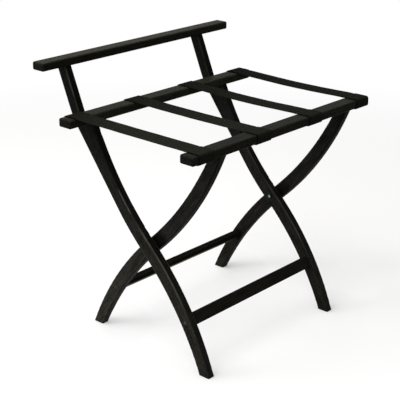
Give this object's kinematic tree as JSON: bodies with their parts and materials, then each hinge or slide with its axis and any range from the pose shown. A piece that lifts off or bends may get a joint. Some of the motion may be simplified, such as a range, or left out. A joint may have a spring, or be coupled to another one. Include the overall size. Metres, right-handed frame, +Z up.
{
  "type": "folding luggage bench",
  "caption": "Folding luggage bench of black-stained wood: curved legs cross on a pivot, webbing straps join the seat rails, and a raised back bar stops the case.",
  "frame": {"origin": "on the floor, in the middle of the bench's width and depth", "axes": "+X along the rails towards the end where the front frame's leg is outermost, +Y towards the raised back bar, +Z up"},
  "size_m": [0.604, 0.4682, 0.6287],
  "materials": {
    "stained_wood": "black stain under satin lacquer, fine grain",
    "plug_wood": "black stain, end grain, satin",
    "dowel_wood": "bare fluted hardwood",
    "webbing": "flat woven polyester webbing, matte",
    "bolt_steel": "bright zinc",
    "screw_steel": "zinc",
    "tack_steel": "blackened steel",
    "insert_brass": "plain",
    "washer_nylon": "black nylon"
  },
  "bodies": {
    "back_frame": {"back_bar": "stained_wood", "back_leg_left": "stained_wood", "back_leg_right": "stained_wood", "rear_seat_rail": "stained_wood", "front_stretcher": "stained_wood", "back_bar_dowels": "dowel_wood", "rear_rail_dowels": "dowel_wood", "front_stretcher_screws": "screw_steel", "front_stretcher_plugs": "plug_wood", "pivot_bolt_left": "bolt_steel", "pivot_insert_left": "insert_brass", "pivot_washer_left": "washer_nylon", "rear_rail_tacks": "tack_steel", "webbing_strap_1": "webbing", "webbing_strap_2": "webbing", "webbing_strap_3": "webbing", "webbing_strap_4": "webbing"},
    "front_frame": {"front_leg_left": "stained_wood", "front_leg_right": "stained_wood", "front_seat_rail": "stained_wood", "rear_stretcher": "stained_wood", "front_rail_dowels": "dowel_wood", "rear_stretcher_screws": "screw_steel", "rear_stretcher_plugs": "plug_wood", "pivot_bolt_right": "bolt_steel", "pivot_insert_right": "insert_brass", "pivot_washer_right": "washer_nylon", "front_rail_tacks": "tack_steel"}
  },
  "joints": [
    {"name": "fold", "type": "hinge", "parent": "back_frame", "child": "front_frame", "pos_m": [0, -0.0372, 0.2514], "axis": [-1, 0, 0], "range_deg": [0, 61], "deforming": ["webbing_strap_1", "webbing_strap_2", "webbing_strap_3", "webbing_strap_4"]}
  ]
}
